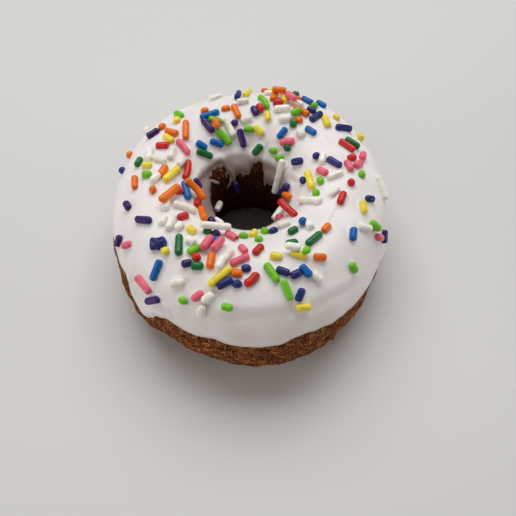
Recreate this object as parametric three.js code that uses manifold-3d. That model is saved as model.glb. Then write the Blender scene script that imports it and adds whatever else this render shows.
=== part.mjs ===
// An iced ring doughnut with sprinkles: a fried cake ring with a flat underside, and a coat of
// white icing over its upper half that carries the sprinkles. Millimetres, +Z up, resting on Z = 0.
//
// Places on the ring are given as a bearing, in degrees about +Z from +X, and a turn, in degrees
// round the ring's own section: 0 is the outer side, 90 the crest and 180 the wall of the hole.
import * as THREE from 'three';
import Module from 'manifold-3d';

// The ring
const outerRadius = 42;
const crestRadius = 26;
const holeRadius = 9.5;
const holeOffset = -1;
const height = 34;
const waistHeight = 14.4;
const underCut = 1.5; // how far the rounded section would reach below its flat underside
const sideSquareness = 0.85;
const topSquareness = 0.89;
const baseSquareness = 0.72;
const outlineWaves = [[2, -0.044, 0.011], [3, -0.010, 0.014], [4, -0.006, 0], [5, 0.010, -0.007]];
const ringCentre = new THREE.Vector3(0, 0.7, 0); // puts the uneven ring's box over the origin

// The crust below the icing; its crags are highest on the outer side. A knob is a crag of its own,
// [bearing, turn, reach in degrees, height].
const crustDepth = 0.35;
const cragHeight = 0.25;
const knobs = [
  [213, -3, 9, 0.5], [225, -7, 11, 1.4], [260, -22, 4, -0.6], [264.5, -20, 3, 0.4], [296, -17, 4, 0.4],
  [299.7, -16, 2.5, -0.5], [303, -16, 4, 0.7], [317, -10, 12, 0.65],
];
const ringSteps = 72;
const crustRows = 24;

// The icing: its depth on top, at its hem, and the roll that gathers just above the hem
const icingDepth = 1.8;
const hemDepth = 0.9;
const lipDepth = 0.15;
const rollHeight = 0.45;
const swellHeight = 0.3;
const touchGap = 0.5;
const icingRows = 13;
const outerHem = [
  [0, 10], [25, 16], [50, 12], [80, 15], [110, 18], [140, 13], [170, 19], [195, 26], [206, 24], [211, 21.5],
  [216, 23], [219, 17], [222, 3], [226, -8], [231, 1], [235, 11], [240, 16], [250, 14], [258, 18],
  [264.5, 16], [270, 15.5], [279, 16.5], [285.5, 20.5], [289, 20.5], [293.5, 18.5], [301, 14], [306, 11.5],
  [312.5, 8.5], [316.5, 6.5], [323, 5], [328, 6.5], [333, 9], [337, 2], [340, -4], [346, 0],
];
const holeHem = [
  [0, 164], [30, 163], [40, 160], [54, 163], [67, 164], [72, 152], [75, 144], [85, 144], [88.5, 152],
  [94, 158], [106, 158], [112, 156], [118, 167], [123, 153], [128, 143], [135, 141], [150, 143], [161, 153],
  [178, 159], [198, 172], [215, 167], [240, 163], [270, 160], [300, 163], [318, 167], [330, 174], [345, 166],
];

// The sprinkles: rods of sugar, each [bearing, turn, heading, length, bend, tilt, under]. The heading is
// 0 along the ring and 90 across it, inwards, the bend is the angle between a curved rod's two ends, the
// tilt is how steeply the end it heads for stands off the icing, and under is 1 for one that fell first.
const sprinkleRadius = 1.1;
const sprinkleSink = 0.55;
const restingGap = 1.6 * sprinkleRadius; // between the middle lines of two that touch
const liftStep = 0.15;
const shortestSolid = 3.6; // shorter ones are too fine for the solid
const sprinkles = {
  white: [
    [144, 44.5, 0, 3], [164, 78, 12, 4.8], [167, 88.5, 77, 4.2], [159.5, 97, 4, 4.4], [165.5, 109, 160, 3.4],
    [183, 88.5, 138, 3.4], [204.5, 95.5, 152, 3.4], [210, 111.5, 55, 6.2], [214, 88, 130, 2.8],
    [218, 91.5, 133, 4.6], [223.5, 95, 104, 2.8], [243, 113, 34, 8], [166, 172, 168, 4.2],
    [235, 133.5, 159, 3.6], [41, 148.5, 103, 10.6], [108, 110, 98, 6.2], [93.5, 104.5, 20, 3.4],
    [95, 83, 5, 3.8], [108.5, 63, 16, 4.4], [70.5, 90.5, 18, 4.7], [65.5, 100.5, 26, 3.8], [65, 79, 176, 5],
    [75.5, 66.5, 0, 2.8, 0, 0, 1], [81, 70.5, 0, 2.8], [49, 106.5, 0, 2.8], [330, 157, 172, 4.8],
    [301, 121, 158, 3.6], [336, 115.5, 88, 7], [313, 101.5, 60, 2.8], [293.5, 91.5, 145, 4], [256.5, 84.5, 78, 3.8],
    [258, 92, 70, 4.4], [236, 91, 0, 2.8], [254.5, 56.5, 50, 3.6], [253, 44, 86, 3.4], [241, 57, 35, 3.8],
    [18.5, 104, 157, 3.8], [0.5, 96, 112, 4.5], [346, 95.5, 149, 3.6], [0, 45.5, 29, 7.2],
    [332.5, 58.5, 119, 3.8], [298, 65, 112, 3],
  ],
  orange: [
    [143.5, 73, 0, 2.5], [144.5, 86, 104, 4.2], [161.5, 48, 10, 2.6], [183, 69.5, 8, 4.7], [191.5, 87, 0, 2.6],
    [176.5, 93.5, 160, 4.1], [199, 100.5, 127, 7.6], [137.5, 93.5, 42, 7], [118.5, 84, 0, 2.6],
    [117.5, 105, 80, 3.4], [100, 93.5, 101, 5.4], [106, 88, 0, 2.7], [193.5, 124, 44, 7.2, -50],
    [219.5, 126, 151, 6.1], [77.5, 77.5, 89, 4.5], [75.5, 74, 5, 4.4], [65.5, 73, 30, 2.6, 0, 0, 1],
    [59, 88, 179, 5.2, -35], [56.5, 96.5, 0, 2.6], [359, 148, 45, 4.8], [251, 85, 105, 4.5], [264.5, 81, 0, 2.7],
    [303.5, 76.5, 142, 3.4], [318, 88.5, 175, 3], [83.5, 58, 0, 2.4],
  ],
  yellow: [
    [149.5, 87.5, 75, 3.9], [135.5, 79.5, 10, 2.6], [172.5, 79, 89, 3], [178, 103, 149, 6.6], [92, 67, 76, 5.6],
    [80, 55, 0, 2.6], [71.5, 78.5, 109, 3.8], [78, 101.5, 106, 3.4], [83, 116.5, 139, 3.9], [230.5, 100, 0, 2.8],
    [228.5, 73.5, 0, 2.6], [257.5, 75.5, 54, 7.1], [273, 124, 70, 3.6], [1, 120, 12, 7], [284, 92, 155, 3.2],
    [295, 87, 136, 4.2], [289, 48, 165, 3.8], [43.5, 81, 153, 4.8], [43, 67, 0, 2.5], [30.5, 48.5, 144, 3.8],
    [342, 68, 26, 3.8],
  ],
  red: [
    [156, 86, 113, 3.8], [168.5, 116, 6, 6.5, -40], [203.5, 129, 149, 3.8, 0, 0, 1],
    [193.5, 111, 100, 2.8, 0, 0, 1], [218, 104.5, 86, 3.2], [84, 93.5, 124, 2.8], [74, 86, 20, 3], [319.5, 131, 73, 7.7, 0, 36],
    [243.5, 83, 0, 2.6], [275, 101, 49, 3.6], [270.5, 78, 45, 4.2, 60], [22.5, 79, 33, 5.4], [13.5, 79, 90, 2.8],
    [354.5, 83.5, 0, 2.2], [342, 88.5, 177, 4.2],
  ],
  pink: [
    [150, 104, 71, 5.7], [211.5, 48, 63, 3.4], [227.5, 35.5, 168, 5.9], [245, 95, 86, 4.6], [251, 98, 76, 4.7],
    [256, 115, 335, 3.9], [266, 101.5, 130, 2.8], [265, 90.5, 32, 5.2], [250.5, 54.5, 52, 3.4],
    [54.5, 119.5, 37, 4.5], [68, 80, 153, 4.2], [314, 144.5, 72, 4.2], [15.5, 64.5, 149, 3.4], [7.5, 84, 18, 3.8],
    [9, 74, 126, 3.6], [6, 107.5, 47, 3.8], [336, 37, 124, 3.4],
  ],
  lime: [
    [131.5, 72.5, 92, 4.1, -35], [179.5, 81, 82, 2.7], [116, 99, 140, 4.2], [115.5, 118.5, 112, 5.8],
    [83, 86.5, 119, 6, -50], [92, 115, 170, 2.8], [240.5, 87, 61, 3.8], [265, 118.5, 0, 2.5], [64.5, 132, 0, 2.5],
    [53.5, 135, 28, 2.7], [56, 72, 0, 2.3], [60.5, 92.5, 61, 3.4], [283.5, 125.5, 100, 2.8],
    [276.5, 113.5, 0, 2.2], [298.5, 85, 0, 2.5], [280, 81.5, 113, 5.7], [284.5, 65.5, 98, 5.2],
    [245.5, 45.5, 0, 2.5], [262, 53, 0, 2.8], [344, 112.5, 0, 2.5], [357, 110, 30, 2.6], [2, 72.5, 0, 2.5],
    [315, 47, 90, 3], [336, 51, 101, 3.8, 40],
  ],
  green: [
    [169.5, 69, 165, 3.3], [141, 124, 122, 5], [239, 109, 30, 2.4, 0, 0, 1], [232, 84, 132, 6], [246, 77, 24, 3.2],
    [68.5, 60, 20, 2.5], [58, 103, 0, 2.3], [51, 124, 0, 2.4], [82, 134, 55, 3.8], [301.5, 108, 173, 3],
    [295.5, 98, 157, 3.2], [307.5, 89.5, 176, 5.4], [24, 71.5, 36, 4.9],
  ],
  blue: [
    [117.5, 90, 179, 6.1], [137.5, 116, 107, 3.5], [124, 121.5, 135, 4.2], [192, 118.5, 5, 6.3, 0, 0, 1],
    [230.5, 55.5, 98, 5.7], [248, 102.5, 100, 2.7, 0, 0, 1], [62.5, 114.5, 78, 4], [44.5, 98.5, 8, 3.8], [61, 69, 166, 4.3],
    [54.5, 63, 171, 3.6], [311.5, 107.5, 0, 2.3], [294.5, 74, 110, 3.7], [325, 67, 26, 3.8],
  ],
  navy: [
    [149.5, 69.5, 152, 4.1], [169, 41.5, 0, 2.2], [195, 61.5, 20, 3], [206.5, 41, 108, 3.3], [223.5, 74, 42, 4.4],
    [233.5, 29, 44, 5.5], [241, 75, 41, 2.8], [268.5, 85.5, 0, 2.5], [260, 71.5, 221, 4.3], [265, 72.5, 0, 2.6],
    [285, 80.5, 141, 3.5], [290, 75, 3, 3], [289, 58.5, 49, 3.5], [245, 111.5, 0, 2.4, 0, 0, 1], [97, 70.5, 76, 5],
    [103, 107, 0, 2.3], [87.5, 95.5, 113, 3.3], [55, 80.5, 8, 3], [50, 84, 85, 5], [31.5, 126, 52, 3.6],
    [22.5, 108.5, 90, 2.3], [11.5, 95, 38, 4.9], [5.5, 127.5, 0, 2.4], [15.5, 151, 83, 5.4], [290, 121, 0, 2.6],
    [35, 70, 70, 5.5], [348.5, 63, 113, 3], [340, 28, 45, 3.8],
  ],
  purple: [
    [123, 101.5, 94, 5.3], [99, 123, 98, 5.7], [208, 74.5, 50, 4.8], [176, 132, 57, 3.4], [230.5, 128, 160, 2.6, 0, 0, 1],
    [116, 168.5, 100, 4.4],
  ],
};

const { degToRad, smoothstep, lerp } = THREE.MathUtils;
const signedPower = (value, exponent) => Math.sign(value) * Math.abs(value) ** exponent;

// The section's radius and height at a bearing and turn, before anything is laid on or cut off.
function section(bearing, turn) {
  const angle = degToRad(bearing);
  const across = Math.cos(degToRad(turn));
  const up = Math.sin(degToRad(turn));
  let wave = 1;
  for (const [count, cosine, sine] of outlineWaves) {
    wave += cosine * Math.cos(count * angle) + sine * Math.sin(count * angle);
  }
  const crest = crestRadius * wave;
  const hole = holeRadius + holeOffset * Math.cos(angle);
  const reach = across > 0 ? outerRadius * wave - crest : crest - hole;
  const rise = up > 0 ? height - waistHeight : waistHeight + underCut;
  return {
    r: crest + reach * signedPower(across, across > 0 ? sideSquareness : 1),
    z: waistHeight + rise * signedPower(up, up > 0 ? topSquareness : baseSquareness),
  };
}

// The point that lies a depth below the full section, and the section's outward normal there.
function skin(bearing, turn, depth) {
  const step = 0.5;
  const { r, z } = section(bearing, turn);
  const before = section(bearing, turn - step);
  const after = section(bearing, turn + step);
  const slope = new THREE.Vector2(after.z - before.z, before.r - after.r).normalize();
  const angle = degToRad(bearing);
  const out = new THREE.Vector3(Math.cos(angle), Math.sin(angle), 0);
  const normal = out.clone().multiplyScalar(slope.x).setZ(slope.y);
  const point = out.multiplyScalar(r).setZ(z).addScaledVector(normal, -depth);
  return { point, normal };
}

// A hem's turn at a bearing, eased from one of its named places to the next.
function hemAt(hem, bearing) {
  const at = ((bearing % 360) + 360) % 360;
  let next = hem.findIndex(([place]) => place > at);
  if (next < 0) next = hem.length;
  const [from, low] = hem[next - 1];
  const [to, high] = next < hem.length ? hem[next] : [360, hem[0][1]];
  return lerp(low, high, smoothstep(at, from, to));
}

// How far inside the icing's hems a place is, in degrees of turn. It is negative on bare crust.
function insideHem(bearing, turn) {
  return Math.min(turn - hemAt(outerHem, bearing), hemAt(holeHem, bearing) - turn);
}

const wave = (value, length, phase) => Math.sin((value / length) * 2 * Math.PI + phase);

// The icing's thickness inside its hems, and its top face: soft swells and the roll above the hem.
const icingThickness = (inside) => lerp(hemDepth, icingDepth, smoothstep(inside, 0, 14));
function icingTop(bearing, turn) {
  const inside = insideHem(bearing, turn);
  const lip = lipDepth * (1 - smoothstep(inside, 0, 5));
  const roll = rollHeight * smoothstep(inside, 0, 8) * (1 - smoothstep(inside, 8, 26));
  const swell = swellHeight * wave(bearing, 72, turn / 20) * wave(turn, 90, bearing / 40);
  return lip - roll + swell * smoothstep(inside, 10, 40) * (turn < 90 ? 1 : 0.3);
}

// The crust's depth: clear of the icing where that covers it, and craggy where it is bare.
function crustTop(bearing, turn) {
  const beside = 360 / ringSteps;
  const nearest = Math.max(...[-beside, 0, beside].map((shift) => insideHem(bearing + shift, turn)));
  const bare = smoothstep(-nearest, 1, 9);
  const relief = (cragHeight * section(bearing, turn).r) / outerRadius;
  const crags = wave(bearing, 15, turn / 9) * wave(turn, 23, bearing / 7) + 0.6 * wave(bearing, 9.5, turn / 4);
  let knob = 0;
  for (const [place, high, reach, rise] of knobs) {
    knob += rise * (1 - smoothstep(Math.hypot(bearing - place, turn - high), 0, reach));
  }
  return lerp(icingThickness(nearest) + touchGap, crustDepth + relief * crags - knob, bare);
}

// A closed band: a loop of rows carried round the ring. Its faces point out of the loop.
function closedBand(rowCount, pointAt) {
  const positions = [];
  const faces = [];
  for (let step = 0; step < ringSteps; step += 1) {
    const nextStep = (step + 1) % ringSteps;
    for (let row = 0; row < rowCount; row += 1) {
      const nextRow = (row + 1) % rowCount;
      positions.push(...pointAt((step / ringSteps) * 360, row));
      const corners = [[step, row], [nextStep, row], [nextStep, nextRow], [step, nextRow]];
      const [a, b, c, d] = corners.map(([ring, along]) => ring * rowCount + along);
      faces.push(a, b, c, a, c, d);
    }
  }
  return geometryOf(positions, faces);
}

function geometryOf(positions, faces) {
  const geometry = new THREE.BufferGeometry();
  geometry.setAttribute('position', new THREE.Float32BufferAttribute(positions, 3));
  geometry.setIndex(faces);
  return geometry;
}

// The cake ring: the whole section, cut off flat where it would pass through the surface below.
function cakeRing() {
  return closedBand(crustRows, (bearing, row) => {
    const turn = (row / crustRows) * 360 - 90;
    const { point } = skin(bearing, turn, crustTop(bearing, turn));
    return point.setZ(Math.max(point.z, 0));
  });
}

// The icing: its top face from hem to hem, and back along the face that lies over the crust.
function icingCoat() {
  return closedBand(2 * icingRows, (bearing, row) => {
    const under = row >= icingRows;
    const along = (under ? 2 * icingRows - 1 - row : row) / (icingRows - 1);
    const turn = lerp(hemAt(outerHem, bearing), hemAt(holeHem, bearing), along);
    const underside = icingThickness(insideHem(bearing, turn));
    return skin(bearing, turn, under ? underside : icingTop(bearing, turn)).point;
  });
}

// Where a rod lies: its middle and directions on the icing, lifted where the icing is hollow.
function layRod([bearing, turn, heading, length, bend = 0, tilt = 0, under = 0]) {
  const step = 0.5;
  const { point, normal } = skin(bearing, turn, icingTop(bearing, turn));
  const alongRing = skin(bearing + step, turn, 0).point.sub(skin(bearing - step, turn, 0).point);
  const acrossRing = skin(bearing, turn + step, 0).point.sub(skin(bearing, turn - step, 0).point);
  const reachBearing = (Math.cos(degToRad(heading)) * length * step) / alongRing.length();
  const reachTurn = (Math.sin(degToRad(heading)) * length * step) / acrossRing.length();
  const ends = [1, -1].map((side) => (
    skin(bearing + side * reachBearing, turn + side * reachTurn, 0).point.sub(skin(bearing, turn, 0).point)
  ));
  const raised = Math.sin(degToRad(tilt)) * (length * step - sprinkleRadius) * 0.8;
  const lift = Math.max(0, ends[0].dot(normal), ends[1].dot(normal)) + raised;
  const direction = ends[0].sub(ends[1]).projectOnPlane(normal).normalize();
  const middle = point.addScaledVector(normal, sprinkleRadius - sprinkleSink + lift);
  const hinge = direction.clone().cross(normal);
  direction.applyAxisAngle(hinge, degToRad(tilt));
  normal.applyAxisAngle(hinge, degToRad(tilt));
  return { middle, direction, normal, length, bend, under };
}

// The shortest distance between two rods' middle lines.
function apart(first, second) {
  const between = first.middle.clone().sub(second.middle);
  const facing = first.direction.dot(second.direction);
  const halves = [first, second].map((rod) => Math.max(rod.length / 2 - sprinkleRadius, 0));
  const clamp = (value, half) => THREE.MathUtils.clamp(value, -half, half);
  let here = 0;
  let there = 0;
  for (let pass = 0; pass < 4; pass += 1) {
    here = clamp(there * facing - between.dot(first.direction), halves[0]);
    there = clamp(here * facing + between.dot(second.direction), halves[1]);
  }
  return between.addScaledVector(first.direction, here).addScaledVector(second.direction, -there).length();
}

// The rods that fell first are laid, and then the longest of the others. One that would pass through
// another is raised until it rests on it.
function pileUp(rows) {
  const laid = [];
  for (const rod of rows.map(layRod).sort((a, b) => b.under - a.under || b.length - a.length)) {
    for (const other of laid) {
      for (let lift = 0; lift < 12 && apart(rod, other) < restingGap; lift += 1) {
        rod.middle.addScaledVector(rod.normal, liftStep);
      }
    }
    laid.push(rod);
  }
  return laid;
}

// A rod of six sides with pointed-off ends, bent sideways on the icing where it is a curved one.
function rodGeometry({ middle, direction, normal, length, bend }) {
  const sides = 6;
  const half = length / 2;
  const sideways = direction.clone().cross(normal);
  const rings = bend ? [-half * 0.75, 0, half * 0.75] : [-half + 0.5, half - 0.5];
  const bow = (along) => ((half * half - along * along) / half) * Math.tan(degToRad(bend) / 4);
  const at = (along) => middle.clone().addScaledVector(direction, along).addScaledVector(sideways, bow(along));
  const positions = [...at(-half)];
  for (const along of rings) {
    for (let side = 0; side < sides; side += 1) {
      const angle = (side / sides) * 2 * Math.PI;
      const corner = at(along).addScaledVector(normal, sprinkleRadius * Math.cos(angle));
      positions.push(...corner.addScaledVector(sideways, -sprinkleRadius * Math.sin(angle)));
    }
  }
  positions.push(...at(half));
  const last = rings.length * sides + 1;
  const faces = [];
  for (let side = 0; side < sides; side += 1) {
    const next = (side + 1) % sides;
    faces.push(0, 1 + side, 1 + next, last, last - sides + next, last - sides + side);
    for (let ring = 0; ring < rings.length - 1; ring += 1) {
      const [a, b] = [1 + ring * sides + side, 1 + ring * sides + next];
      faces.push(a, b + sides, b, a, a + sides, b + sides);
    }
  }
  return geometryOf(positions, faces);
}

// The sprinkles are stuck in the icing, so they and it are one solid. Joining may leave a sealed
// hollow or a loose scrap: only the largest closed surface is kept, which fills the one and drops
// the other.
const wasm = await Module();
wasm.setup();
function solidOf(geometry) {
  const vertProperties = geometry.attributes.position.array;
  return new wasm.Manifold(new wasm.Mesh({ numProp: 3, vertProperties, triVerts: new Uint32Array(geometry.index.array) }));
}
function icingWithSprinkles() {
  let joined = solidOf(icingCoat());
  for (const rod of pileUp(Object.values(sprinkles).flat())) {
    if (rod.length >= shortestSolid) joined = joined.add(solidOf(rodGeometry(rod)));
  }
  const [largest] = joined.decompose().sort((a, b) => b.volume() - a.volume());
  const { vertProperties, triVerts } = largest.getMesh();
  return geometryOf(vertProperties, [...triVerts]);
}

function namedMesh(name, geometry, color, roughness) {
  const mesh = new THREE.Mesh(geometry, new THREE.MeshStandardMaterial({ color, roughness, metalness: 0 }));
  mesh.name = name;
  mesh.position.copy(ringCentre);
  return mesh;
}

const doughnut = new THREE.Group();
doughnut.add(namedMesh('cake_ring', cakeRing(), 0x4a1f12, 0.85));
doughnut.add(namedMesh('icing', icingWithSprinkles(), 0xe6e0e1, 0.3));
export default doughnut;
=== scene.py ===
"""A fried ring doughnut with white icing and sugar sprinkles, dressed over its CAD frame.

Lengths are in millimetres until a mesh is made. A place on the ring is a bearing, in degrees about
+Z from +X, and a turn, in degrees round the ring's own section: 0 is the outer side, 90 the crest
and 180 the wall of the hole.
"""
import math

import bpy
import numpy as np
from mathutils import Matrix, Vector, noise


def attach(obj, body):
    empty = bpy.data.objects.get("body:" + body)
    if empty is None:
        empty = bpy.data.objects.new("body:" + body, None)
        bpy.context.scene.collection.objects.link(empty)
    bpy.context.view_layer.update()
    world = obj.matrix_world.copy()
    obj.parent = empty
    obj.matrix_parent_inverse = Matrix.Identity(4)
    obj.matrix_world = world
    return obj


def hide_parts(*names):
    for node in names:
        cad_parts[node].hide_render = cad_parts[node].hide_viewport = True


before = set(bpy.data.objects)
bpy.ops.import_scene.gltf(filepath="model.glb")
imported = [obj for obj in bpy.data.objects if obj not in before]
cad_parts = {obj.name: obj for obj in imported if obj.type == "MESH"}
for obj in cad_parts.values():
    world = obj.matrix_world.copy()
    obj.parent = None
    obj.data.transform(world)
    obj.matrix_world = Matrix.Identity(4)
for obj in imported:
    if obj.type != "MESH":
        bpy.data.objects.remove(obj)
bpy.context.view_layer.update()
MM = 0.001


# ---------------------------------------------------------------------------------------------
# The fried cake ring. Soft batter is dropped as a ring into hot fat, which sets it with a flat
# underside, a swollen side and a thin brown crust. The crust is craggy and open, with a fine crumb
# of dark specks and light flecks. Painted shade darkens its sunk pits and the wall of the hole.

outer_radius = 42.0
crest_radius = 26.0
hole_radius = 9.5
hole_offset = -1.0
height = 34.0
waist_height = 14.4
under_cut = 1.5
side_squareness = 0.85
top_squareness = 0.89
base_squareness = 0.72
outline_waves = [(2, -0.044, 0.011), (3, -0.010, 0.014), (4, -0.006, 0.0), (5, 0.010, -0.007)]
ring_centre = np.array([0.0, 0.7, 0.0])

crust_columns = 680
crust_stretches = [(-90, 30, 70), (30, 122, 12), (122, 270, 54)]  # each (from turn, to turn, rows)


def signed_power(value, exponent):
    return np.sign(value) * np.abs(value) ** exponent


def smoothstep(value, low, high):
    part = np.clip((value - low) / (high - low), 0, 1)
    return part * part * (3 - 2 * part)


def lerp(low, high, part):
    return low + (high - low) * part


def wave(value, length, phase):
    return np.sin(value / length * 2 * np.pi + phase)


def section(bearing, turn):
    """The full section's radius and height at a bearing and turn, with nothing laid on or cut off."""
    angle = np.radians(bearing)
    across = np.cos(np.radians(turn))
    up = np.sin(np.radians(turn))
    swing = 1.0
    for count, cosine, sine in outline_waves:
        swing = swing + cosine * np.cos(count * angle) + sine * np.sin(count * angle)
    crest = crest_radius * swing
    hole = hole_radius + hole_offset * np.cos(angle)
    outside = across > 0
    reach = np.where(outside, outer_radius * swing - crest, crest - hole)
    rise = np.where(up > 0, height - waist_height, waist_height + under_cut)
    radius = crest + reach * signed_power(across, np.where(outside, side_squareness, 1.0))
    squareness = np.where(up > 0, top_squareness, base_squareness)
    return radius, waist_height + rise * signed_power(up, squareness)


def skin(bearing, turn, depth=0.0):
    """The point that lies a depth below the full section, and the section's normal there."""
    bearing, turn, depth = np.broadcast_arrays(bearing, turn, depth)
    step = 0.5
    radius, high = section(bearing, turn)
    radius_before, high_before = section(bearing, turn - step)
    radius_after, high_after = section(bearing, turn + step)
    slope = np.stack([high_after - high_before, radius_before - radius_after], -1)
    slope /= np.linalg.norm(slope, axis=-1, keepdims=True)
    cosine, sine = np.cos(np.radians(bearing)), np.sin(np.radians(bearing))
    normal = np.stack([cosine * slope[..., 0], sine * slope[..., 0], slope[..., 1]], -1)
    point = np.stack([cosine * radius, sine * radius, high], -1)
    return point - normal * depth[..., None], normal


def even_turns(start, stop, rows):
    """Turns that lie evenly spaced along the section, which its squareness would bunch up."""
    fine = np.linspace(start, stop, 2000)
    points, _ = skin(0.0, fine)
    run = np.concatenate([[0], np.cumsum(np.linalg.norm(np.diff(points, axis=0), axis=1))])
    return np.interp(np.linspace(0, run[-1], rows), run, fine)


# The icing's two hems decide where the crust is bare. Each is a list of (bearing, turn) places. The
# very edge of the icing is also a little frayed, more so in the hole.
outer_hem = [
    (0, 10), (25, 16), (50, 12), (80, 15), (110, 18), (140, 13), (170, 19), (195, 26), (206, 24),
    (211, 21.5), (216, 23), (219, 17), (222, 3), (226, -8), (231, 1), (235, 11), (240, 16),
    (250, 14), (258, 18), (264.5, 16), (270, 15.5), (279, 16.5), (285.5, 20.5), (289, 20.5),
    (293.5, 18.5), (301, 14), (306, 11.5), (312.5, 8.5), (316.5, 6.5), (323, 5), (328, 6.5),
    (333, 9), (337, 2), (340, -4), (346, 0),
]
hole_hem = [
    (0, 164), (30, 163), (40, 160), (54, 163), (67, 164), (72, 152), (75, 144), (85, 144),
    (88.5, 152), (94, 158), (106, 158), (112, 156), (118, 167), (123, 153), (128, 143), (135, 141),
    (150, 143), (161, 153), (178, 159), (198, 172), (215, 167), (240, 163), (270, 160), (300, 163),
    (318, 167), (330, 174), (345, 166),
]
outer_fray = 0.6
hole_fray = 1.6


def hem_at(hem, bearing):
    """A hem's turn at a bearing, eased from one of its places to the next."""
    places = np.array(hem + [(360 + hem[0][0], hem[0][1])], float)
    at = np.mod(bearing, 360)
    index = np.searchsorted(places[:, 0], at, side="right") - 1
    start, end = places[index], places[index + 1]
    return lerp(start[..., 1], end[..., 1], smoothstep(at, start[..., 0], end[..., 0]))


def frayed(bearing, fray):
    """How far a hem strays from its line, in degrees of turn."""
    broad = wave(bearing, 12, 2.0) * wave(bearing, 40, 0.7)
    fine = wave(bearing, 7.5, 0.4) * wave(bearing, 45, 2.2)
    return fray * (broad + 0.6 * fine)


def inside_hem(bearing, turn):
    """How far inside the icing's hems a place is, in degrees of turn. Bare crust is negative."""
    return np.minimum(turn - hem_at(outer_hem, bearing), hem_at(hole_hem, bearing) - turn)


def fractal(points, size, octaves):
    """Fractal noise, about -1 to 1, whose largest lumps are a size across."""
    places = (points / size).reshape(-1, 3).tolist()
    return np.reshape([noise.fractal(at, 1.0, 2.0, octaves) for at in places], points.shape[:-1])


def mesh_piece(name, points, faces, **values):
    """A smooth-shaded piece from points in millimetres, with its named per-point values."""
    mesh = bpy.data.meshes.new(name)
    mesh.from_pydata(((points + ring_centre) * MM).tolist(), [], faces.tolist())
    mesh.shade_smooth()
    for key, value in values.items():
        layer = mesh.attributes.new(key, "FLOAT", "POINT")
        layer.data.foreach_set("value", np.ravel(value).astype(np.float32))
    piece = bpy.data.objects.new(name, mesh)
    bpy.context.scene.collection.objects.link(piece)
    return piece


def band_faces(columns, rows):
    """The faces of a loop of rows carried round the ring, facing out of the loop."""
    here = np.arange(columns * rows).reshape(columns, rows)
    beside = np.roll(here, -1, axis=0)
    corners = [here, beside, np.roll(beside, -1, axis=1), np.roll(here, -1, axis=1)]
    return np.stack(corners, -1).reshape(-1, 4)


hem_depth = 0.9
icing_depth = 1.8
thickening = 14  # the degrees from a hem to where the icing has its full depth


def icing_thickness(inside):
    return lerp(hem_depth, icing_depth, smoothstep(inside, 0, thickening))


crust_depth = 0.35
crust_gap = 0.1  # between the icing's back and the crust that it covers
crag_height = 0.25
knobs = [  # the larger crags, each (bearing, turn, reach in degrees, height)
    (213, -3, 9, 0.5), (225, -12, 11, 1.4), (260, -22, 4, -0.6), (264.5, -20, 3, 0.4),
    (296, -17, 4, 0.4), (299.7, -16, 2.5, -0.5), (303, -16, 4, 0.7), (317, -10, 12, 0.65),
]
pits = [  # crevices, and crumbs of negative depth, each (bearing, turn, reach, depth)
    (260.5, 6, 1.1, 0.9), (263.5, -1, 1.0, 0.9), (263, -13, 1.3, 0.9), (267, 8.5, 0.6, 0.35),
    (271.5, -5, 0.7, 0.4), (277, 8.5, 0.7, 0.3), (291.5, 1.5, 0.9, 0.5), (295, -11, 1.1, 0.6),
    (297, 1.5, 1.2, 0.9), (299.5, -7.5, 1.4, 0.9), (303, 1.5, 0.8, 0.4), (264.5, 16, 0.9, -0.5),
    (279, 17.5, 1.0, -0.5), (283.5, 19, 0.7, -0.4), (289, 20.5, 0.8, -0.5), (297, 15.5, 0.8, -0.4),
    (222, 1, 1.2, 0.4),
]
lump_size = 3.6
lump_height = 0.38
crumb_size = 1.0
crumb_height = 0.2
base_roughness = 0.02
shaded_wall = (122, 162)  # the turns where painted shade on the wall of the hole begins and where it is darkest

stretches = [even_turns(start, stop, rows + 1)[:-1] for start, stop, rows in crust_stretches]
crust_bearings = np.arange(crust_columns) / crust_columns * 360
bearing, turn = np.meshgrid(crust_bearings, np.concatenate(stretches), indexing="ij")
inside = inside_hem(bearing, turn)
bare = smoothstep(-inside, -0.6, 1.8)
relief = crag_height * section(bearing, turn)[0] / outer_radius
broad_crags = wave(bearing, 15, turn / 9) * wave(turn, 23, bearing / 7)
crags = broad_crags + 0.6 * wave(bearing, 9.5, turn / 4)
knob = np.zeros(bearing.shape)
for place, high, reach, rise in knobs:
    knob += rise * (1 - smoothstep(np.hypot(bearing - place, turn - high), 0, reach))
crust_top = crust_depth + relief * crags - knob
covered_depth = icing_thickness(inside) + crust_gap
smooth_crust, crust_normal = skin(bearing, turn, lerp(covered_depth, crust_top, bare))
raised = lump_height * fractal(smooth_crust, lump_size, 2)
raised += crumb_height * fractal(smooth_crust, crumb_size, 4)
for place, high, reach, depth in pits:
    away = np.linalg.norm(smooth_crust - skin(place, high, crust_depth)[0], axis=-1)
    raised -= depth * (1 - smoothstep(away, 0, reach))
crust_points = smooth_crust + crust_normal * (raised * bare)[..., None]
flat_base = base_roughness * (fractal(smooth_crust, lump_size, 1) + 1)
crust_points[..., 2] = np.maximum(crust_points[..., 2], flat_base)
# Painted shade: a mask that darkens the crust down the wall of the hole.
hollow = smoothstep(turn, *shaded_wall)
cake = mesh_piece("fried_cake", crust_points.reshape(-1, 3), band_faces(*bearing.shape),
                  crumb=raised, hollow=hollow)


def add(tree, kind, inputs={}, **settings):
    """A shader node, with each input set to a value or joined to another node's output."""
    made = tree.nodes.new("ShaderNode" + kind)
    for key, value in settings.items():
        setattr(made, key, value)
    for key, value in inputs.items():
        if isinstance(value, bpy.types.NodeSocket):
            tree.links.new(value, made.inputs[key])
        else:
            made.inputs[key].default_value = value
    return made


def mix(tree, part, first, second):
    """A colour between two, the second where part is 1."""
    return add(tree, "Mix", {0: part, 6: first, 7: second}, data_type="RGBA").outputs[2]


def span(tree, value, low, high, top=1.0):
    """0 where the value is low, and top where it is high."""
    limits = {"Value": value, "From Min": low, "From Max": high, "To Max": top}
    return add(tree, "MapRange", limits).outputs[0]


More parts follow.
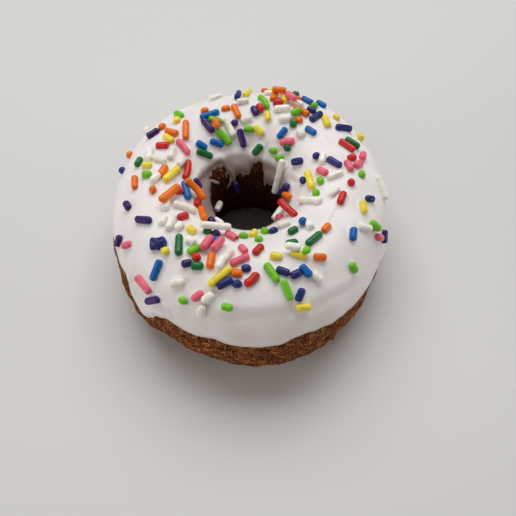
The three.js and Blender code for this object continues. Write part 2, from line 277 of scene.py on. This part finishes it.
def attribute(tree, name):
    """A per-point value of the mesh."""
    return add(tree, "Attribute", attribute_name=name).outputs["Fac"]


def bump(tree, height_value, distance, strength, normal=None):
    """A normal that is tilted by a height, on top of another one if that is given."""
    inputs = {"Height": height_value, "Distance": distance * MM, "Strength": strength}
    if normal is not None:
        inputs["Normal"] = normal
    return add(tree, "Bump", inputs).outputs["Normal"]


def shade(red, green, blue):
    """A linear colour from its values on a 0 to 255 colour chart."""
    parts = [part / 255 for part in (red, green, blue)]
    linear = [part / 12.92 if part <= 0.04 else ((part + 0.055) / 1.055) ** 2.4 for part in parts]
    return (*linear, 1.0)


def new_material(name, piece):
    """A piece's new material: its node tree and its Principled BSDF."""
    material = bpy.data.materials.new(name)
    material.use_nodes = True
    piece.data.materials.append(material)
    return material.node_tree, material.node_tree.nodes["Principled BSDF"]


# Uneven tone at two sizes, which the crust, the icing and every sprinkle use.
mottle = bpy.data.node_groups.new("mottle", "ShaderNodeTree")
for label in ("Broad size", "Fine size"):
    mottle.interface.new_socket(label, in_out="INPUT", socket_type="NodeSocketFloat")
for label in ("Broad", "Fine"):
    mottle.interface.new_socket(label, in_out="OUTPUT", socket_type="NodeSocketFloat")
given = mottle.nodes.new("NodeGroupInput")
result = mottle.nodes.new("NodeGroupOutput")
on_piece = add(mottle, "TexCoord").outputs["Object"]
for label, detail in (("Broad", 3.0), ("Fine", 4.0)):
    size = given.outputs[label + " size"]
    per_metre = add(mottle, "Math", {0: 1 / MM, 1: size}, operation="DIVIDE").outputs[0]
    texture = add(mottle, "TexNoise", {"Vector": on_piece, "Scale": per_metre, "Detail": detail})
    mottle.links.new(texture.outputs["Fac"], result.inputs[label])


def mottled(tree, broad_size, fine_size):
    """The mottle group's outputs, for lumps of these two sizes in millimetres."""
    made = tree.nodes.new("ShaderNodeGroup")
    made.node_tree = mottle
    made.inputs["Broad size"].default_value = broad_size
    made.inputs["Fine size"].default_value = fine_size
    return made.outputs


tree, surface = new_material("fried_crust", cake)
crumb_tone = mottled(tree, 3.4, 0.6)
grain_tone = mottled(tree, 1.4, 0.28)
browner = span(tree, crumb_tone["Broad"], 0.38, 0.62)
brown = mix(tree, browner, shade(102, 45, 18), shade(142, 71, 30))
brown = mix(tree, span(tree, crumb_tone["Fine"], 0.5, 0.38), brown, shade(52, 18, 6))
brown = mix(tree, span(tree, grain_tone["Broad"], 0.53, 0.64, 0.8), brown, shade(196, 124, 62))
brown = mix(tree, span(tree, grain_tone["Fine"], 0.46, 0.36, 0.9), brown, shade(36, 11, 4))
brown = mix(tree, span(tree, grain_tone["Fine"], 0.58, 0.66), brown, shade(232, 176, 118))
# Painted shade: the crust's sunk pits and crevices are coloured near black.
brown = mix(tree, span(tree, attribute(tree, "crumb"), -0.1, -0.5), brown, shade(30, 9, 3))
# Painted shade: the crust is coloured near black down the wall of the hole.
brown = mix(tree, span(tree, attribute(tree, "hollow"), 0.0, 1.0, 0.88), brown, shade(38, 9, 4))
tree.links.new(brown, surface.inputs["Base Color"])
surface.inputs["Roughness"].default_value = 0.75
surface.inputs["Specular IOR Level"].default_value = 0.08
rough = bump(tree, crumb_tone["Fine"], 0.5, 0.8)
rough = bump(tree, grain_tone["Fine"], 0.25, 0.8, rough)
tree.links.new(rough, surface.inputs["Normal"])

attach(cake, "root")
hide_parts("cake_ring")


# ---------------------------------------------------------------------------------------------
# The sprinkles. Coloured sugar paste is pressed through a die, broken into rods and polished, then
# strewn on the wet icing, where the rods sink in a little and lie over one another.

sprinkle_radius = 1.1
sprinkle_sink = 0.55
tilt_rise = 0.8
resting_gap = 1.6 * sprinkle_radius
lift_step = 0.15
most_lifts = 12
meeting_margin = 4
# Each is (bearing, turn, heading, length, bend, tilt, under), and the last three can be left out.
# The heading is 0 along the ring and 90 across it, inwards. The bend is the angle between a curved
# rod's two ends, the tilt is how steeply the end it heads for stands off the icing, and under is 1
# for a rod that fell before the others.
sprinkles = {
    "white": [
        (144, 44.5, 0, 3), (164, 78, 12, 4.8), (167, 88.5, 77, 4.2), (159.5, 97, 4, 4.4),
        (165.5, 109, 160, 3.4), (183, 88.5, 138, 3.4), (204.5, 95.5, 152, 3.4),
        (210, 111.5, 55, 6.2), (214, 88, 130, 2.8), (218, 91.5, 133, 4.6), (223.5, 95, 104, 2.8),
        (243, 113, 34, 8), (166, 172, 168, 4.2), (235, 133.5, 159, 3.6), (41, 148.5, 103, 10.6),
        (108, 110, 98, 6.2), (93.5, 104.5, 20, 3.4), (95, 83, 5, 3.8), (108.5, 63, 16, 4.4),
        (70.5, 90.5, 18, 4.7), (65.5, 100.5, 26, 3.8), (65, 79, 176, 5),
        (75.5, 66.5, 0, 2.8, 0, 0, 1), (81, 70.5, 0, 2.8), (49, 106.5, 0, 2.8),
        (330, 157, 172, 4.8), (301, 121, 158, 3.6), (336, 115.5, 88, 7), (313, 101.5, 60, 2.8),
        (293.5, 91.5, 145, 4), (256.5, 84.5, 78, 3.8), (258, 92, 70, 4.4), (236, 91, 0, 2.8),
        (254.5, 56.5, 50, 3.6), (253, 44, 86, 3.4), (241, 57, 35, 3.8), (18.5, 104, 157, 3.8),
        (0.5, 96, 112, 4.5), (346, 95.5, 149, 3.6), (0, 45.5, 29, 7.2), (332.5, 58.5, 119, 3.8),
        (298, 65, 112, 3),
    ],
    "orange": [
        (143.5, 73, 0, 2.5), (144.5, 86, 104, 4.2), (161.5, 48, 10, 2.6), (183, 69.5, 8, 4.7),
        (191.5, 87, 0, 2.6), (176.5, 93.5, 160, 4.1), (199, 100.5, 127, 7.6), (137.5, 93.5, 42, 7),
        (118.5, 84, 0, 2.6), (117.5, 105, 80, 3.4), (100, 93.5, 101, 5.4), (106, 88, 0, 2.7),
        (193.5, 124, 44, 7.2, -50), (219.5, 126, 151, 6.1), (77.5, 77.5, 89, 4.5),
        (75.5, 74, 5, 4.4), (65.5, 73, 30, 2.6, 0, 0, 1), (59, 88, 179, 5.2, -35),
        (56.5, 96.5, 0, 2.6), (359, 148, 45, 4.8), (251, 85, 105, 4.5), (264.5, 81, 0, 2.7),
        (303.5, 76.5, 142, 3.4), (318, 88.5, 175, 3), (83.5, 58, 0, 2.4),
    ],
    "yellow": [
        (149.5, 87.5, 75, 3.9), (135.5, 79.5, 10, 2.6), (172.5, 79, 89, 3), (178, 103, 149, 6.6),
        (92, 67, 76, 5.6), (80, 55, 0, 2.6), (71.5, 78.5, 109, 3.8), (78, 101.5, 106, 3.4),
        (83, 116.5, 139, 3.9), (230.5, 100, 0, 2.8), (228.5, 73.5, 0, 2.6), (257.5, 75.5, 54, 7.1),
        (273, 124, 70, 3.6), (1, 120, 12, 7), (284, 92, 155, 3.2), (295, 87, 136, 4.2),
        (289, 48, 165, 3.8), (43.5, 81, 153, 4.8), (43, 67, 0, 2.5), (30.5, 48.5, 144, 3.8),
        (342, 68, 26, 3.8),
    ],
    "red": [
        (156, 86, 113, 3.8), (168.5, 116, 6, 6.5, -40), (203.5, 129, 149, 3.8, 0, 0, 1),
        (193.5, 111, 100, 2.8, 0, 0, 1), (218, 104.5, 86, 3.2), (84, 93.5, 124, 2.8),
        (74, 86, 20, 3), (319.5, 131, 73, 7.7, 0, 36), (243.5, 83, 0, 2.6), (275, 101, 49, 3.6),
        (270.5, 78, 45, 4.2, 60), (22.5, 79, 33, 5.4), (13.5, 79, 90, 2.8), (354.5, 83.5, 0, 2.2),
        (342, 88.5, 177, 4.2),
    ],
    "pink": [
        (150, 104, 71, 5.7), (211.5, 48, 63, 3.4), (227.5, 35.5, 168, 5.9), (245, 95, 86, 4.6),
        (251, 98, 76, 4.7), (256, 115, 335, 3.9), (266, 101.5, 130, 2.8), (265, 90.5, 32, 5.2),
        (250.5, 54.5, 52, 3.4), (54.5, 119.5, 37, 4.5), (68, 80, 153, 4.2), (314, 144.5, 72, 4.2),
        (15.5, 64.5, 149, 3.4), (7.5, 84, 18, 3.8), (9, 74, 126, 3.6), (6, 107.5, 47, 3.8),
        (336, 37, 124, 3.4),
    ],
    "lime": [
        (131.5, 72.5, 92, 4.1, -35), (179.5, 81, 82, 2.7), (116, 99, 140, 4.2),
        (115.5, 118.5, 112, 5.8), (83, 86.5, 119, 6, -50), (92, 115, 170, 2.8),
        (240.5, 87, 61, 3.8), (265, 118.5, 0, 2.5), (64.5, 132, 0, 2.5), (53.5, 135, 28, 2.7),
        (56, 72, 0, 2.3), (60.5, 92.5, 61, 3.4), (283.5, 125.5, 100, 2.8), (276.5, 113.5, 0, 2.2),
        (298.5, 85, 0, 2.5), (280, 81.5, 113, 5.7), (284.5, 65.5, 98, 5.2), (245.5, 45.5, 0, 2.5),
        (262, 53, 0, 2.8), (344, 112.5, 0, 2.5), (357, 110, 30, 2.6), (2, 72.5, 0, 2.5),
        (315, 47, 90, 3), (336, 51, 101, 3.8, 40),
    ],
    "green": [
        (169.5, 69, 165, 3.3), (141, 124, 122, 5), (239, 109, 30, 2.4, 0, 0, 1), (232, 84, 132, 6),
        (246, 77, 24, 3.2), (68.5, 60, 20, 2.5), (58, 103, 0, 2.3), (51, 124, 0, 2.4),
        (82, 134, 55, 3.8), (301.5, 108, 173, 3), (295.5, 98, 157, 3.2), (307.5, 89.5, 176, 5.4),
        (24, 71.5, 36, 4.9),
    ],
    "blue": [
        (117.5, 90, 179, 6.1), (137.5, 116, 107, 3.5), (124, 121.5, 135, 4.2),
        (192, 118.5, 5, 6.3, 0, 0, 1), (230.5, 55.5, 98, 5.7), (248, 102.5, 100, 2.7, 0, 0, 1),
        (62.5, 114.5, 78, 4), (44.5, 98.5, 8, 3.8), (61, 69, 166, 4.3), (54.5, 63, 171, 3.6),
        (311.5, 107.5, 0, 2.3), (294.5, 74, 110, 3.7), (325, 67, 26, 3.8),
    ],
    "navy": [
        (169, 41.5, 0, 2.2), (223.5, 74, 42, 4.4), (268.5, 85.5, 0, 2.5), (260, 71.5, 221, 4.3),
        (265, 72.5, 0, 2.6), (285, 80.5, 141, 3.5), (290, 75, 3, 3), (289, 58.5, 49, 3.5),
        (97, 70.5, 76, 5), (55, 80.5, 8, 3), (50, 84, 85, 5), (31.5, 126, 52, 3.6),
        (22.5, 108.5, 90, 2.3), (11.5, 95, 38, 4.9), (5.5, 127.5, 0, 2.4), (15.5, 151, 83, 5.4),
        (290, 121, 0, 2.6), (35, 70, 70, 5.5), (348.5, 63, 113, 3),
    ],
    "purple": [
        (149.5, 69.5, 152, 4.1), (195, 61.5, 20, 3), (206.5, 41, 108, 3.3), (233.5, 29, 44, 5.5),
        (241, 75, 41, 2.8), (245, 111.5, 0, 2.4, 0, 0, 1), (103, 107, 0, 2.3),
        (87.5, 95.5, 113, 3.3), (340, 28, 45, 3.8), (123, 101.5, 94, 5.3), (99, 123, 98, 5.7),
        (208, 74.5, 50, 4.8), (176, 132, 57, 3.4), (230.5, 128, 160, 2.6, 0, 0, 1),
        (116, 168.5, 100, 4.4),
    ],
}
dyes = {
    "white": (255, 251, 241), "orange": (248, 122, 22), "yellow": (255, 231, 76),
    "red": (211, 45, 37), "pink": (248, 112, 136), "lime": (120, 202, 34), "green": (22, 114, 54),
    "blue": (4, 104, 186), "navy": (40, 48, 116), "purple": (62, 34, 106),
}
lip_depth = 0.15
roll_height = 0.45
swell_height = 0.3


def icing_top(bearing, turn):
    """The depth of the icing's top face: a lip at the hem, a roll above that and soft swells."""
    inside = inside_hem(bearing, turn)
    lip = lip_depth * (1 - smoothstep(inside, 0, 5))
    roll = roll_height * smoothstep(inside, 0, 8) * (1 - smoothstep(inside, 8, 26))
    swell = swell_height * wave(bearing, 72, turn / 20) * wave(turn, 90, bearing / 40)
    return lip - roll + swell * smoothstep(inside, 10, 40) * np.where(turn < 90, 1.0, 0.3)


def turned(vector, axis, angle):
    """A vector turned about an axis at right angles to it."""
    return vector * math.cos(angle) + np.cross(axis, vector) * math.sin(angle)


def lay_rod(bearing, turn, heading, length, bend=0.0, tilt=0.0, under=0):
    """Where a rod lies: its middle and directions, lifted where the icing below it is hollow."""
    step = 0.5
    half = length / 2
    top, normal = skin(bearing, turn, icing_top(bearing, turn))
    origin = skin(bearing, turn)[0]
    along_ring = skin(bearing + step, turn)[0] - skin(bearing - step, turn)[0]
    across_ring = skin(bearing, turn + step)[0] - skin(bearing, turn - step)[0]
    reach_bearing = math.cos(math.radians(heading)) * half / np.linalg.norm(along_ring)
    reach_turn = math.sin(math.radians(heading)) * half / np.linalg.norm(across_ring)
    ends = [
        skin(bearing + side * reach_bearing, turn + side * reach_turn)[0] - origin
        for side in (1, -1)
    ]
    raised = math.sin(math.radians(tilt)) * (half - sprinkle_radius) * tilt_rise
    lift = max(0.0, ends[0] @ normal, ends[1] @ normal) + raised
    direction = ends[0] - ends[1]
    direction -= normal * (direction @ normal)
    direction /= np.linalg.norm(direction)
    hinge = np.cross(direction, normal)
    return {
        "middle": top + normal * (sprinkle_radius - sprinkle_sink + lift),
        "direction": turned(direction, hinge, math.radians(tilt)),
        "normal": turned(normal, hinge, math.radians(tilt)),
        "length": length, "bend": bend, "under": under,
    }


def apart(first, second):
    """The shortest distance between two rods' middle lines."""
    between = first["middle"] - second["middle"]
    facing = first["direction"] @ second["direction"]
    halves = [max(rod["length"] / 2 - sprinkle_radius, 0) for rod in (first, second)]
    here = there = 0.0
    for _ in range(4):
        here = min(max(there * facing - between @ first["direction"], -halves[0]), halves[0])
        there = min(max(here * facing + between @ second["direction"], -halves[1]), halves[1])
    return np.linalg.norm(between + first["direction"] * here - second["direction"] * there)


def pile_up(rods):
    """Lays those that fell first and then the longest, each raised to rest on any that it meets."""
    laid = []
    for rod in sorted(rods, key=lambda rod: (-rod["under"], -rod["length"])):
        for other in laid:
            near = (rod["length"] + other["length"]) / 2 + meeting_margin
            if np.linalg.norm(rod["middle"] - other["middle"]) > near:
                continue
            lifts = 0
            while lifts < most_lifts and apart(rod, other) < resting_gap:
                rod["middle"] = rod["middle"] + rod["normal"] * lift_step
                lifts += 1
        laid.append(rod)
    return laid


rods = pile_up([
    dict(lay_rod(*row), dye=dye, mark=(dye, row[0]))
    for dye, rows in sprinkles.items() for row in rows
])

rod_sides = 18
body_step = 0.45
ball_length = 2.7  # a shorter rod has been polished to a ball
cap_length = 0.95
cap_steps = [0.0, 0.25, 0.5, 0.7, 0.84, 0.93, 0.98]
hollow_steps = [  # a snapped end's (place along the cap, width), over its rim and down inside
    (0.0, 1.0), (0.4, 0.97), (0.8, 0.86), (0.95, 0.74), (0.7, 0.6), (0.1, 0.5), (-0.5, 0.4),
]
hollow_ended = [("pink", 256), ("pink", 334.5), ("navy", 260)]  # each (dye, bearing)
clumped = [("navy", 223.5)]
clump_swelling = 1.5
clump_lumps, rod_lumps = (1.3, 0.45), (2.2, 0.07)  # each (size in millimetres, share of the width)


def rod_profile(rod, luck):
    """A rod's stations from its near end to its far one, each (place along it, relative width)."""
    half = rod["length"] / 2
    ball = rod["length"] < ball_length
    cap = half if ball else cap_length
    roundness = 2.0 if ball else luck.uniform(2.1, 2.8)
    far_cap = [
        (half - cap + cap * step, (1 - step ** roundness) ** (1 / roundness)) for step in cap_steps
    ]
    near_cap = [(-along, wide) for along, wide in reversed(far_cap)]
    body_steps = max(int((rod["length"] - 2 * cap) / body_step), 1)
    body = [(along, 1.0) for along in np.linspace(-(half - cap), half - cap, body_steps + 1)[1:-1]]
    if rod["mark"] in hollow_ended:
        far_cap = [(half - cap + cap * step, wide) for step, wide in hollow_steps]
    elif ball:
        far_cap = far_cap[1:]
    return np.array(near_cap + body + far_cap)


def rod_mesh(rod, seed):
    """A rod's points and faces, bent and a little uneven."""
    luck = np.random.default_rng(seed)
    profile = rod_profile(rod, luck)
    stations = len(profile)
    half = rod["length"] / 2
    in_clump = rod["mark"] in clumped
    thickness = sprinkle_radius * luck.uniform(0.86, 0.98) * (clump_swelling if in_clump else 1.0)
    along, wide = profile[:, :1], profile[:, 1:] * thickness
    lean = math.tan(math.radians(rod["bend"]) / 4)
    sideways = np.cross(rod["direction"], rod["normal"])
    bow = (half * half - along * along) / half * lean
    heading = rod["direction"] - sideways * (2 * along / half * lean)
    heading /= np.linalg.norm(heading, axis=1, keepdims=True)
    flank = np.cross(heading, rod["normal"])
    centre = rod["middle"] + rod["direction"] * along + sideways * bow
    angle = np.arange(rod_sides) / rod_sides * 2 * np.pi
    upward = rod["normal"] * np.cos(angle)[None, :, None]
    ring = upward - flank[:, None, :] * np.sin(angle)[None, :, None]
    points = centre[:, None, :] + ring * wide[..., None]
    lump_width, lump_share = clump_lumps if in_clump else rod_lumps
    lumps = fractal(points + seed * 17.0, lump_width, 2)
    points = points + ring * (wide * lumps * lump_share)[..., None]
    here = np.arange(stations * rod_sides).reshape(stations, rod_sides)
    beside = np.roll(here, -1, axis=1)
    quads = np.stack([here[:-1], beside[:-1], beside[1:], here[1:]], -1).reshape(-1, 4)
    first, last = stations * rod_sides, stations * rod_sides + 1
    ends = [[first, beside[0, side], here[0, side]] for side in range(rod_sides)]
    ends += [[last, here[-1, side], beside[-1, side]] for side in range(rod_sides)]
    end_points = [points[0].mean(0)[None], points[-1].mean(0)[None]]
    return np.concatenate([points.reshape(-1, 3)] + end_points), quads.tolist() + ends


for dye, colour in dyes.items():
    points, faces, tones = [], [], []
    for number, rod in enumerate(rods):
        if rod["dye"] != dye:
            continue
        start = sum(len(part) for part in points)
        rod_points, rod_faces = rod_mesh(rod, number)
        points.append(rod_points)
        faces += [[start + corner for corner in face] for face in rod_faces]
        tones.append(np.full(len(rod_points), np.random.default_rng(number + 500).uniform()))
    piece = mesh_piece("sprinkles_" + dye, np.concatenate(points), np.array(faces, dtype=object),
                       tone=np.concatenate(tones))
    tree, surface = new_material("sugar_" + dye, piece)
    uneven = mottled(tree, 1.8, 0.5)
    full = shade(*colour)
    deep = tuple(part * 0.7 for part in full[:3]) + (1.0,)
    mixed = mix(tree, span(tree, uneven["Broad"], 0.56, 0.3, 0.7), full, deep)
    mixed = mix(tree, span(tree, attribute(tree, "tone"), 0.3, 1.0, 0.4), mixed, deep)
    tree.links.new(mixed, surface.inputs["Base Color"])
    surface.inputs["Roughness"].default_value = 0.26
    surface.inputs["Specular IOR Level"].default_value = 0.32
    surface.inputs["Subsurface Weight"].default_value = 0.15
    surface.inputs["Subsurface Radius"].default_value = (1.0, 1.0, 1.0)
    surface.inputs["Subsurface Scale"].default_value = 0.0005
    tree.links.new(bump(tree, uneven["Fine"], 0.15, 0.4), surface.inputs["Normal"])
    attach(piece, "root")
    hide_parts("icing")


# ---------------------------------------------------------------------------------------------
# The icing. The ring is dipped in warm white sugar icing, which runs down over the side and into the
# hole, sags in folds and sets with a rounded lip. Brown shows through where it is thin, a few strands
# hang in the hole, and it has crept up round the sprinkles that fell in it. Painted shade darkens it
# down the wall of the hole, and a little painted warm shade tints its front.

icing_columns = 560
icing_rows = 146
lip_rows = 7
under_rows = 16
lip_roundness = 1.3
turn_degree = 0.35  # the length of one degree of turn at the hem
under_gap = 0.05
collar_height = 0.22
collar_width = 0.9
folds = [  # each (height, width in degrees, places as (bearing, turn)), a step down to one side
    (0.4, 5.0, [
        (254, 40), (262, 46), (270.5, 50.5), (280.5, 52), (291.5, 47.5), (300.5, 45.5), (311.5, 36),
        (322, 28),
    ]),
    (0.8, 3.0, [
        (231, 37), (235.5, 32.5), (237.5, 29.5), (240, 27), (241.5, 20.5), (243.5, 11.5),
        (246.5, 8.5),
    ]),
    (-0.35, 3.0, [(2, 128), (12, 134), (25.5, 139.5), (40, 143), (47, 144)]),
    (-1.0, 4.0, [
        (36, 141), (40, 143), (62.5, 144.5), (74, 145.5), (84, 144), (92, 142.5), (95.5, 140.5),
        (114.5, 139), (140.5, 139.5), (152.5, 137.5), (160.5, 136), (170, 133.5), (180, 131),
        (190, 128),
    ]),
]
strands = [  # each (half width, places as (bearing, turn))
    (0.28, [(132.5, 141.5), (132.5, 147), (132, 153), (131.5, 160)]),
    (0.24, [(139, 142), (139.5, 147), (141, 154)]),
    (0.45, [(154, 147.5), (152, 149), (147.5, 153), (141, 158.5)]),
    (0.5, [(113, 153), (121, 159), (124.5, 163.5), (129, 166), (133, 167)]),
    (0.3, [(121, 156), (124.5, 151.5), (128, 154), (127, 159)]),
]
strand_steps = 28
strand_sides = 10
strand_sink = 0.1
strand_flatness = 0.8
shaded_side_turns = 14  # how much sooner the painted shade on the icing in the hole begins on the -X side
thin_wall = (140, 149)  # the turns between which the icing in the hole thins and painted shade darkens it
thin_places = [  # each (bearing, turn, reach, how strong the tint); the three on the front are partly thin icing and partly painted warm shade
    (328, 10, 2.6, 0.8), (333, 5, 2.0, 0.7), (268, 26, 5.0, 0.5), (282, 31, 6.0, 0.5),
    (297, 30, 6.0, 0.5),
]


def gather(points):
    """How far the icing has crept up beside the rods, at each point."""
    risen = np.zeros(points.shape[:-1])
    for rod in rods:
        offset = points - (rod["middle"] - rod["normal"] * (sprinkle_radius - sprinkle_sink))
        close = np.abs(offset).max(-1) < rod["length"] / 2 + 3
        if not close.any():
            continue
        offset = offset[close]
        half = max(rod["length"] / 2 - sprinkle_radius, 0)
        run = np.clip(offset @ rod["direction"], -half, half)
        from_rod = np.linalg.norm(offset - run[:, None] * rod["direction"], axis=-1)
        away = from_rod - 0.85 * sprinkle_radius
        collar = collar_height * (1 - smoothstep(away, 0, collar_width))
        risen[close] = np.maximum(risen[close], collar)
    return risen


def folded(bearing, turn):
    """How far the folds raise or lower the icing: a swelling on one side, a hollow on the other."""
    total = np.zeros(bearing.shape)
    for rise, width, places in folds:
        at, line = np.array(places, float).T
        inside_line = turn - np.interp(bearing, at, line)
        ends = smoothstep(bearing, at[0], at[1]) * (1 - smoothstep(bearing, at[-2], at[-1]))
        swelling = np.exp(-((inside_line - width) / width) ** 2)
        hollow = np.exp(-((inside_line + width) / width) ** 2)
        total += ends * rise * (0.45 * swelling - 0.55 * hollow)
    return total


def strand_points(half_width, places):
    """The points of a strand of icing on the crust, flattened and tapering at both ends."""
    at, line = np.array(places, float).T
    steps = np.linspace(0, len(at) - 1, strand_steps)
    knots = np.arange(len(at))
    strand_bearing, strand_turn = np.interp(steps, knots, at), np.interp(steps, knots, line)
    middle, normal = skin(strand_bearing, strand_turn, crust_depth + strand_sink)
    middle[1:-1] = (middle[:-2] + 2 * middle[1:-1] + middle[2:]) / 4
    heading = np.gradient(middle, axis=0)
    flank = np.cross(heading, normal)
    flank /= np.linalg.norm(flank, axis=1, keepdims=True)
    taper = np.sqrt(np.clip(1 - np.abs(np.linspace(-1, 1, strand_steps)) ** 6, 0.02, 1))
    width = half_width * taper * (1 + 0.25 * fractal(middle, 1.5, 2))
    angle = np.arange(strand_sides) / strand_sides * 2 * np.pi
    across = flank[:, None, :] * np.cos(angle)[None, :, None]
    outward = strand_flatness * normal[:, None, :] * np.sin(angle)[None, :, None]
    return middle[:, None, :] + (across + outward) * width[:, None, None]


bearing = np.arange(icing_columns)[:, None] / icing_columns * 360
low, high = hem_at(outer_hem, bearing), hem_at(hole_hem, bearing)
first_turn, last_turn = 15, 160
spaced = even_turns(first_turn, last_turn, icing_rows)
share = ((spaced - first_turn) / (last_turn - first_turn))[None, :]
top_turn = low + (high - low) * share
low_fray, high_fray = frayed(bearing, outer_fray), frayed(bearing, hole_fray)
top_turn += low_fray * (1 - smoothstep(share, 0, 0.03)) + high_fray * smoothstep(share, 0.94, 1)
low, high = low + low_fray, high + high_fray
under_turn = high + (low - high) * np.linspace(0, 1, under_rows)[None, :]
under_depth = icing_thickness(inside_hem(bearing, under_turn)) + under_gap
lip_angle = np.pi * np.arange(1, lip_rows + 1)[None, :] / (lip_rows + 1)
lip_half = (hem_depth + under_gap - lip_depth) / 2
lip_out = lip_half * lip_roundness * np.sin(lip_angle) / turn_degree
lip_down = np.repeat(lip_depth + lip_half - lip_half * np.cos(lip_angle), icing_columns, 0)
turn = np.concatenate([top_turn, high + lip_out, under_turn, low - lip_out], 1)
bearing = np.broadcast_to(bearing, turn.shape)
top_depth = icing_top(bearing[:, :icing_rows], top_turn)
depth = np.concatenate([top_depth, lip_down, under_depth, lip_down[:, ::-1]], 1)
icing_points, icing_normal = skin(bearing, turn, depth)
on_top = np.zeros(turn.shape)
on_top[:, :icing_rows] = smoothstep(inside_hem(bearing, turn)[:, :icing_rows], 0, 3)
risen = gather(icing_points) + folded(bearing, turn)
icing_points = icing_points + icing_normal * (risen * on_top)[..., None]
thin = 1 - smoothstep(inside_hem(bearing, turn), -1, 4)
for place, at_turn, reach, how in thin_places:
    away = np.linalg.norm(icing_points - skin(place, at_turn)[0], axis=-1)
    thin = np.maximum(thin, how * (1 - smoothstep(away, 0, reach)))
# Painted shade on the icing down the wall of the hole, where it is also thin; it begins sooner on the
# -X side.
shaded_side = smoothstep(-np.cos(np.radians(bearing)), 0.3, 0.9)
hollow = smoothstep(turn + shaded_side_turns * shaded_side, *thin_wall)

points, faces = [icing_points.reshape(-1, 3)], [band_faces(*turn.shape)]
thinness, hollows = [thin.ravel()], [hollow.ravel()]
strand_faces = band_faces(strand_steps, strand_sides)
strand_faces = strand_faces[: (strand_steps - 1) * strand_sides]
for half_width, places in strands:
    faces.append(strand_faces + sum(len(part) for part in points))
    points.append(strand_points(half_width, places).reshape(-1, 3))
    # The strands are thin, and painted shade darkens them in the hole.
    thinness.append(np.full(len(points[-1]), 0.6))
    hollows.append(np.full(len(points[-1]), 0.8))
icing = mesh_piece("icing_coat", np.concatenate(points), np.concatenate(faces),
                   thin=np.concatenate(thinness), hollow=np.concatenate(hollows))

tree, surface = new_material("white_icing", icing)
uneven = mottled(tree, 9.0, 1.2)
whiter = span(tree, uneven["Broad"], 0.35, 0.65)
coat = mix(tree, whiter, (0.85, 0.80, 0.795, 1), (0.89, 0.85, 0.845, 1))
# Brown tint where the icing is thin; on the front it also paints warm shade.
coat = mix(tree, span(tree, attribute(tree, "thin"), 0.0, 1.0, 0.4), coat, shade(206, 172, 150))
# Painted shade: the icing in the hole and its strands are coloured grey-brown.
coat = mix(tree, span(tree, attribute(tree, "hollow"), 0.0, 1.0, 0.8), coat, shade(142, 112, 106))
tree.links.new(coat, surface.inputs["Base Color"])
surface.inputs["Roughness"].default_value = 0.42
surface.inputs["Specular IOR Level"].default_value = 0.4
surface.inputs["Subsurface Weight"].default_value = 0.35
surface.inputs["Subsurface Radius"].default_value = (1.0, 0.75, 0.7)
surface.inputs["Subsurface Scale"].default_value = 0.0015
tree.links.new(bump(tree, uneven["Fine"], 0.3, 0.12), surface.inputs["Normal"])

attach(icing, "root")
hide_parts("icing")


# ---------------------------------------------------------------------------------------------
# The setting. A plain pale floor, a large soft light high behind the doughnut, weak ones in front
# of it and low at each side, and a pale room.

floor_size = 4.0
floor_mesh = bpy.data.meshes.new("floor")
reach = floor_size / 2
corners = [(-reach, -reach, 0), (reach, -reach, 0), (reach, reach, 0), (-reach, reach, 0)]
floor_mesh.from_pydata(corners, [], [(0, 1, 2, 3)])
floor = bpy.data.objects.new("floor", floor_mesh)
bpy.context.scene.collection.objects.link(floor)
tree, surface = new_material("pale_floor", floor)
surface.inputs["Base Color"].default_value = (0.67, 0.665, 0.66, 1)
surface.inputs["Roughness"].default_value = 0.5

world = bpy.data.worlds.new("pale_room")
world.use_nodes = True
world.node_tree.nodes["Background"].inputs["Color"].default_value = (1.0, 0.9, 0.84, 1)
world.node_tree.nodes["Background"].inputs["Strength"].default_value = 0.16
bpy.context.scene.world = world


def soft_light(name, place, wide, tall, watts, colour):
    """A rectangular light that faces the doughnut."""
    light = bpy.data.lights.new(name, "AREA")
    light.shape = "RECTANGLE"
    light.size, light.size_y = wide, tall
    light.energy = watts
    light.color = colour
    lamp = bpy.data.objects.new(name, light)
    lamp.location = place
    lamp.rotation_euler = (-Vector(place)).to_track_quat("-Z", "Y").to_euler()
    bpy.context.scene.collection.objects.link(lamp)


soft_light("high_light", (-0.02, 0.43, 0.75), 1.0, 0.6, 6.8, (0.968, 0.997, 0.995))
soft_light("front_light", (-0.35, -0.45, 0.5), 0.4, 0.3, 0.4, (1.0, 0.98, 0.95))
soft_light("left_light", (-0.7, -0.3, 0.2), 0.5, 0.25, 1.55, (1.0, 0.96, 0.93))
soft_light("right_light", (0.75, -0.1, 0.2), 0.5, 0.25, 1.2, (1.0, 0.95, 0.92))
bpy.context.scene.view_settings.view_transform = "Standard"

camera = bpy.data.cameras.new("camera")
camera.lens = 39.07
camera.sensor_width = 36
viewer = bpy.data.objects.new("camera", camera)
viewer.location = (0.00207, -0.09974, 0.14939)
viewer.rotation_euler = (math.radians(32.75), 0, 0)
bpy.context.scene.collection.objects.link(viewer)
bpy.context.scene.camera = viewer
